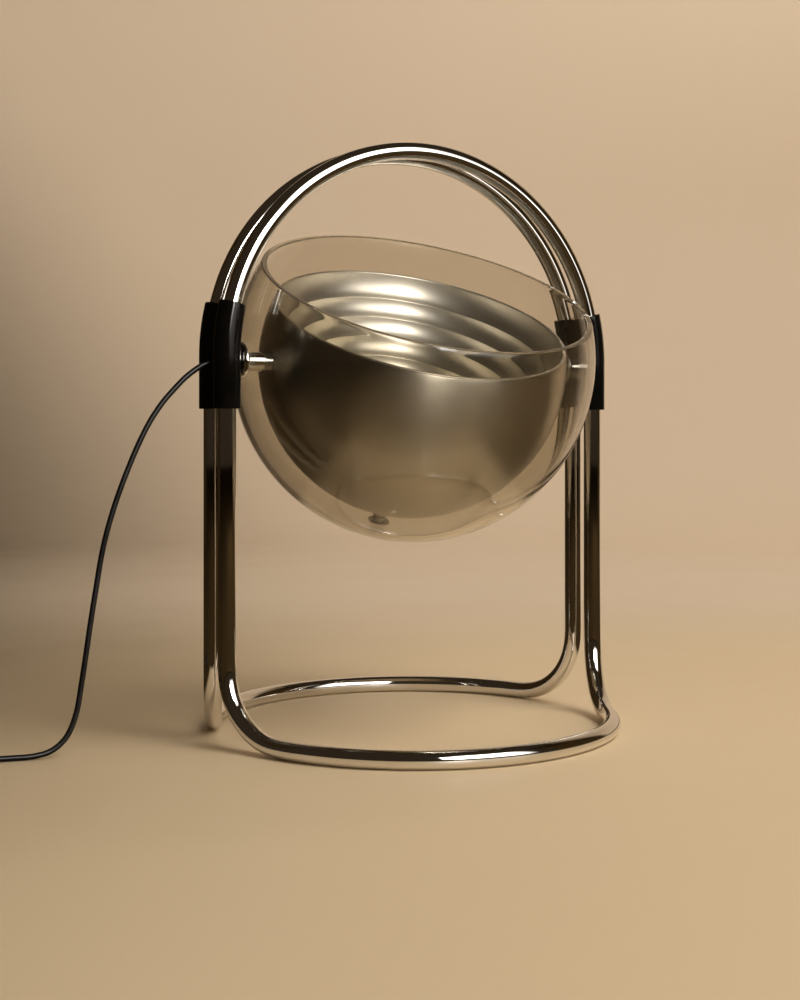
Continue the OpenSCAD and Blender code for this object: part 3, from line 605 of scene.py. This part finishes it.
def eased(points, rounds):
    """A path whose bends run into each other softly: each point moves to the mean of its neighbours."""
    for _ in range(rounds):
        means = [(a + 2 * b + c) / 4 for a, b, c in zip(points, points[1:], points[2:])]
        points = points[:1] + means + points[-1:]
    return points


def evenly(points, step):
    """Points at even distances along a path."""
    found = [points[0]]
    left = step
    for a, b in zip(points, points[1:]):
        length = (b - a).length
        while left < length:
            found.append(a.lerp(b, left / length))
            left += step
        left -= length
    return found + [points[-1]]


def tube(path, around=40):
    """A hollow tube along a path."""
    ways = [(b - a).normalized() for a, b in zip([path[0]] + path[:-1], path[1:] + [path[-1]])]
    side = ways[0].orthogonal().normalized()
    ring = arc((0, 0), 1, 0, 360, around)[:-1]
    bm = bmesh.new()
    skins = ([], [])
    for point, way in zip(path, ways):
        side = (side - way * side.dot(way)).normalized()
        across = way.cross(side)
        for skin, r in zip(skins, (TUBE_R, BORE_R)):
            skin.append([bm.verts.new(point + r * (s * side + t * across)) for s, t in ring])
    rows = skins[0] + skins[1][::-1]
    for a, b in zip(rows, rows[1:] + rows[:1]):
        for k in range(around):
            m = (k + 1) % around
            bm.faces.new((a[k], a[m], b[m], b[k]))
    return bm


def base_path():
    """Down the left leg, forward through its foot, round the base curve and up the right leg."""
    foot_x = ARCH_R - FOOT_BEND_R * math.sin(TOE_IN)
    foot_y = HALF_PAIR + FOOT_BEND_R * math.cos(TOE_IN)
    base_r = foot_x / math.cos(TOE_IN)
    base_y = foot_y - foot_x * math.tan(TOE_IN)
    forward = Vector((math.sin(TOE_IN), -math.cos(TOE_IN), 0))
    foot_top = Vector((-ARCH_R, -HALF_PAIR, TUBE_R + FOOT_BEND_R))
    leg = [Vector((-ARCH_R, -HALF_PAIR, JOINT_Z))]
    leg += [foot_top + forward * (FOOT_BEND_R + x) + Vector((0, 0, z))
            for x, z in arc((0, 0), FOOT_BEND_R, 180, 270, 48)]
    turn = math.degrees(TOE_IN)
    curve = [Vector((x, y, TUBE_R)) for x, y in arc((0, -base_y), base_r, 180 + turn, 360 - turn, 160)]
    other_leg = [Vector((-p.x, p.y, p.z)) for p in reversed(leg)]
    return leg + curve[1:-1] + other_leg


def arch_path():
    """Up from one joint, over the arch and down to the other joint."""
    curve = [Vector((x, -HALF_PAIR, z)) for x, z in arc((0, ARCH_Z), ARCH_R, 180, 0, 180)]
    ends = [Vector((x, -HALF_PAIR, JOINT_Z)) for x in (-ARCH_R, ARCH_R)]
    return ends[:1] + curve + ends[1:]


def make_tubes():
    """The front tubes, and the rear ones as their mirror images."""
    base = eased(evenly(base_path(), BASE_STEP), BASE_EASING)
    arch = evenly(arch_path(), ARCH_STEP)
    for path, name in ((base, "base_tube"), (arch, "arch_tube")):
        add_piece(tube(path), "front_" + name, "frame")
        add_piece(tube([Vector((p.x, -p.y, p.z)) for p in path]), "rear_" + name, "frame")


# Pivots and sleeves

def make_collars():
    """Turned bells whose flanks swell a little."""
    rim = COLLAR_FACE + COLLAR_CONE
    bore = PIVOT_R + FIT
    flank_start, flank_end = Vector((COLLAR_R, rim + COLLAR_RIM)), Vector((COLLAR_NECK_R, COLLAR_END))
    out = Vector((1, 1)).normalized() * COLLAR_SWELL
    steps = 12
    shares = [i / steps for i in range(steps + 1)]
    flank = [flank_start.lerp(flank_end, t) + out * math.sin(math.pi * t) for t in shares]
    profile = [(bore, COLLAR_FACE), (FRICTION_R, COLLAR_FACE), (COLLAR_R, rim), *flank, (bore, COLLAR_END)]
    for node, side in (("left_collar", -1), ("right_collar", 1)):
        place = Matrix.Translation(PIVOT) @ Matrix.Rotation(side * math.pi / 2, 4, "Y")
        add_piece(lathe(rounded(profile, COLLAR_EDGE), COLLAR_STEPS), node, "frame", place)


def sleeve_outline(inset):
    """The section of a sleeve as (outwards, sideways) points, drawn in by the inset."""
    lobe, fillet = LOBE_R - inset, WEB_FILLET + inset
    half = []
    for web, side in ((WEB_OUT - inset, 1), (WEB_IN - inset, -1)):
        away = web + fillet
        centre = Vector((side * away, HALF_PAIR - math.sqrt((lobe + fillet) ** 2 - away ** 2)))
        meet = Vector((0, HALF_PAIR)) - centre
        angle = math.degrees(math.atan2(meet.y, meet.x))
        half.append((centre, angle))
    (outer, outer_angle), (inner, inner_angle) = half
    points = arc(outer, fillet, 180, outer_angle, 5)
    points += arc((0, HALF_PAIR), lobe, outer_angle - 180, inner_angle + 180, 48)
    points += arc(inner, fillet, inner_angle, 0, 5)
    return points + [(s, -t) for s, t in reversed(points)]


def along_sleeve(distance, section):
    """A section placed on the sleeve's path, which runs straight up and then follows the arch."""
    past = distance - SLEEVE_BELOW
    bend = max(0, past) / ARCH_R
    out = Vector((math.cos(bend), 0, math.sin(bend)))
    return [Vector((0, t, ARCH_Z + min(0, past))) + out * (ARCH_R + s) for s, t in section]


def sleeve_stations(start, end):
    """Distances along the path: ends, and steps that follow the bend."""
    bend_steps = 10
    found = [start, SLEEVE_BELOW]
    return found + [SLEEVE_BELOW + (end - SLEEVE_BELOW) * i / bend_steps for i in range(1, bend_steps + 1)]


def make_sleeve():
    """The right sleeve, with rounded ends, bores for both tubes and a hole for the pivot."""
    length = SLEEVE_BELOW + SLEEVE_ARC * ARCH_R
    edge_steps = 5
    edge = [(SLEEVE_EDGE * (1 - math.cos(a)), SLEEVE_EDGE * (1 - math.sin(a)))
            for a in (math.radians(90 * i / edge_steps) for i in range(edge_steps + 1))]
    rings = [along_sleeve(d, sleeve_outline(inset)) for d, inset in edge]
    stations = sleeve_stations(SLEEVE_EDGE, length - SLEEVE_EDGE)[1:-1]
    rings += [along_sleeve(d, sleeve_outline(0)) for d in stations]
    rings += [along_sleeve(length - d, sleeve_outline(inset)) for d, inset in reversed(edge)]
    bm = carve(loft(rings), rod(COLLAR_NECK_R, COLLAR_END, ARCH_R, PIVOT.z), "UNION")
    spare = 2 * MM
    for y in (-HALF_PAIR, HALF_PAIR):
        bore = [(s, y + t) for s, t in arc((0, 0), TUBE_R + FIT, 0, 360, 48)[:-1]]
        stations = sleeve_stations(-spare, length + spare)
        bm = carve(bm, loft([along_sleeve(d, bore) for d in stations]))
    return carve(bm, rod(PIVOT_R + FIT, 0, 2 * ARCH_R, PIVOT.z))


def make_sleeves():
    """Both sleeves: the left one is the right one's mirror image."""
    left, right = make_sleeve(), make_sleeve()
    bmesh.ops.scale(left, vec=(-1, 1, 1), verts=left.verts)
    add_piece(left, "left_sleeve", "frame")
    add_piece(right, "right_sleeve", "frame")


# Mouldings: copies of the solids with softened edges

def soften(node, body, width):
    """A copy of a solid whose sharp edges are bevelled to this width."""
    same_point, flat, sharp_from = 1e-6, math.radians(1), math.radians(40)
    bm = bmesh.new()
    bm.from_mesh(nodes[node].data)
    bmesh.ops.transform(bm, matrix=nodes[node].matrix_world, verts=bm.verts)
    bmesh.ops.remove_doubles(bm, verts=bm.verts, dist=same_point)
    bmesh.ops.dissolve_limit(bm, angle_limit=flat, verts=bm.verts, edges=bm.edges)
    sharp = [e for e in bm.edges if e.is_manifold and e.calc_face_angle() > sharp_from]
    bmesh.ops.bevel(bm, geom=sharp, offset=width, segments=2, profile=0.5, affect="EDGES", clamp_overlap=True)
    add_piece(bm, node, body)


# Stage, light and camera

def stage_material():
    """A pale warm floor and wall with painted shade that darkens them to the left.

    In reflections they are painted dark except near the lamp, so that the chrome shows a small table in a dark
    room.
    """
    # Tones: the colour of painted shade, then the floor's and the wall's own colours
    painted_shade_tone, floor_tone, wall_tone = (0.055, 0.035, 0.015), (0.79, 0.62, 0.40), (0.80, 0.66, 0.50)
    table_half, table_fade = 0.18, 0.05
    behind_from, behind_full = 0.15, 0.5
    floor_until, wall_from = 0.2, 0.9
    made, tree, shader = new_material("stage")
    coords = tree.nodes.new("ShaderNodeTexCoord")
    turn = tree.nodes.new("ShaderNodeVectorRotate")
    turn.rotation_type = "Z_AXIS"
    turn.inputs["Angle"].default_value = -CAMERA_TURN
    split = tree.nodes.new("ShaderNodeSeparateXYZ")
    tree.links.new(coords.outputs["Object"], turn.inputs["Vector"])
    tree.links.new(turn.outputs["Vector"], split.inputs["Vector"])
    right, back, up = (split.outputs[axis] for axis in "XYZ")

    # Painted shade: all of it darkens to the left, and more so low down
    slant = compute(tree, "MULTIPLY_ADD", up, 0.8, right)
    painted_left_shade = spread(tree, slant, 0.2, 1, -0.9, 0)

    # Painted reflection: glossy rays see the pale tones only on a patch of floor as large as a table and on what
    # lies behind it, and see painted dark elsewhere
    table_end = table_half + table_fade
    table_front = spread(tree, back, 0, 1, -table_end, -table_half)
    table_left = spread(tree, right, 0, 1, -table_end, -table_half)
    table_right = spread(tree, right, 1, 0, table_half, table_end)
    table = compute(tree, "MULTIPLY", table_front, compute(tree, "MULTIPLY", table_left, table_right))
    behind = spread(tree, up, 1, 0.6, 0.6, 1.4)
    for slope in (2, -0.45):
        beyond = compute(tree, "MULTIPLY_ADD", right, slope, back)
        behind = compute(tree, "MULTIPLY", behind, spread(tree, beyond, 0, 1, behind_from, behind_full))
    mirrored = compute(tree, "MAXIMUM", table, behind)
    # Painted reflection: outside that patch, rays thrown back glossily see the stage painted dark, on top of the
    # painted shade
    less = compute(tree, "MULTIPLY", is_reflection(tree), compute(tree, "SUBTRACT", 1, mirrored))
    pale = compute(tree, "MULTIPLY", painted_left_shade, compute(tree, "SUBTRACT", 1, less))

    # Painted shade: the floor is darker in its left corner and a little darker far back
    near = compute(tree, "MINIMUM", back, 0.4)
    painted_corner_shade = spread(tree, compute(tree, "MULTIPLY_ADD", near, -0.35, right), 0.55, 1, -0.6, 0)
    painted_floor_shade = compute(tree, "MULTIPLY", painted_corner_shade, spread(tree, back, 1, 0.92, 0.25, 0.8))
    floor = tones(tree, compute(tree, "MULTIPLY", pale, painted_floor_shade), painted_shade_tone, floor_tone)
    wall = tones(tree, pale, painted_shade_tone, wall_tone)
    mix = tree.nodes.new("ShaderNodeMix")
    mix.data_type = "RGBA"
    tree.links.new(spread(tree, back, 0, 1, floor_until, wall_from), mix.inputs["Factor"])
    tree.links.new(floor, mix.inputs["A"])
    tree.links.new(wall, mix.inputs["B"])
    tree.links.new(mix.outputs["Result"], shader.inputs["Base Color"])
    tree.links.new(spread(tree, noise(tree, 8, detail=6), 0.45, 0.55), shader.inputs["Roughness"])
    # The gloss is dimmed by the same painted shade and painted reflection
    tree.links.new(compute(tree, "MULTIPLY", pale, 0.25), shader.inputs["Specular IOR Level"])
    return made


def make_stage():
    """A floor that runs back and curves up into a round wall behind the lamp."""
    wall_r, cove_r, wall_h, floor_r = 2.3, 0.7, 2.6, 6.0
    profile = [(0.0, 0.0), (wall_r - cove_r, 0.0)]
    profile += [(wall_r - cove_r + x, cove_r + z) for x, z in arc((0, 0), cove_r, -90, 0, 16)[1:]]
    profile += [(wall_r, wall_h)]
    middle, half = math.pi / 2 + CAMERA_TURN, math.radians(100)
    wall_steps, floor_steps = 48, 40
    bm = bmesh.new()
    rows = []
    for i in range(wall_steps + 1):
        t = middle + half * (2 * i / wall_steps - 1)
        rows.append([bm.verts.new((r * math.cos(t), r * math.sin(t), z)) for r, z in profile])
    for a, b in zip(rows, rows[1:]):
        for k in range(len(profile) - 1):
            bm.faces.new((a[k], a[k + 1], b[k + 1], b[k]))
    centre = bm.verts.new((0, 0, 0))
    front = []
    for i in range(floor_steps + 1):
        t = middle + half + 2 * (math.pi - half) * i / floor_steps
        front.append(bm.verts.new((floor_r * math.cos(t), floor_r * math.sin(t), 0)))
    for a, b in zip(front, front[1:]):
        bm.faces.new((centre, a, b))
    bmesh.ops.remove_doubles(bm, verts=bm.verts, dist=1e-5)
    mesh = bpy.data.meshes.new("stage")
    bm.to_mesh(mesh)
    bm.free()
    mesh.shade_smooth()
    mesh.materials.append(stage_material())
    floor = bpy.data.objects.new("stage", mesh)
    scene.collection.objects.link(floor)


def softbox(name, at, target, size, power, edges, mirrored=True, lighting=True):
    """A panel of light that dims towards its edges, over these shares of its width and height.

    It may be left out of reflections, or only show in them.
    """
    light = bpy.data.lights.new(name, "AREA")
    light.shape = "RECTANGLE"
    light.size, light.size_y = size
    light.energy = power
    light.color = LIGHT_COLOUR
    light.use_nodes = True
    tree = light.node_tree
    place = tree.nodes.new("ShaderNodeNewGeometry")
    split = tree.nodes.new("ShaderNodeSeparateXYZ")
    tree.links.new(place.outputs["Parametric"], split.inputs["Vector"])
    strength = 1
    for axis, edge in zip("XY", edges):
        along = split.outputs[axis]
        inside = compute(tree, "MINIMUM", along, compute(tree, "SUBTRACT", 1, along))
        strength = compute(tree, "MULTIPLY", strength, spread(tree, inside, 0, 1, 0, edge))
    tree.links.new(strength, tree.nodes["Emission"].inputs["Strength"])
    lamp = bpy.data.objects.new(name, light)
    lamp.visible_glossy = mirrored
    lamp.visible_diffuse = lighting
    lamp.location = at
    lamp.rotation_mode = "QUATERNION"
    lamp.rotation_quaternion = (Vector(target) - Vector(at)).to_track_quat("-Z", "Y")
    scene.collection.objects.link(lamp)


def make_lights():
    """A tall key with a bright core for the reflections, a fill from above and a light on the wall."""
    key_z = 1.3
    softbox("key", at=(0.56, -2.03, key_z), target=(0, 0, key_z), size=(2.0, 2.1), power=47,
            edges=(0.3, 0.12))
    softbox("core", at=(-0.27, -2.08, 0.95), target=PIVOT, size=(0.6, 1.1), power=52,
            edges=(0.3, 0.3), lighting=False)
    softbox("fill", at=(0.7, -1.1, 2.2), target=(0, 0, 0), size=(1.6, 1.6), power=44,
            edges=(0.2, 0.2), mirrored=False)
    softbox("backdrop", at=(1.1, 0.75, 2.0), target=(1.2, 2.0, 0.6), size=(1.4, 0.6), power=16,
            edges=(0.2, 0.2), mirrored=False)
    world = bpy.data.worlds.new("world")
    world.use_nodes = True
    background = world.node_tree.nodes["Background"]
    background.inputs["Color"].default_value = (*WORLD_COLOUR, 1)
    background.inputs["Strength"].default_value = WORLD_STRENGTH
    scene.world = world


def make_camera():
    """A level camera whose picture is shifted down."""
    lens = bpy.data.cameras.new("camera")
    lens.lens = CAMERA_LENS
    lens.shift_y = CAMERA_SHIFT_Y
    camera = bpy.data.objects.new("camera", lens)
    camera.location = CAMERA_AT
    camera.rotation_euler = (math.pi / 2, 0, CAMERA_TURN)
    scene.collection.objects.link(camera)
    scene.camera = camera


make_camera()
dress_nodes()
make_cords()
make_globe()
make_bowl()
make_reflector()
make_thread_shell()
make_tubes()
make_collars()
make_sleeves()
for moulding in ("switch_base", "switch_cover", "plug_body", "coil_tie"):
    soften(moulding, "frame", MOULDING_EDGE)
soften("switch_rocker", "rocker", MOULDING_EDGE)
for moulding in ("holder_body", "holder_cap"):
    soften(moulding, "head", HOLDER_EDGE)
make_stage()
make_lights()
scene.view_settings.view_transform = "Standard"
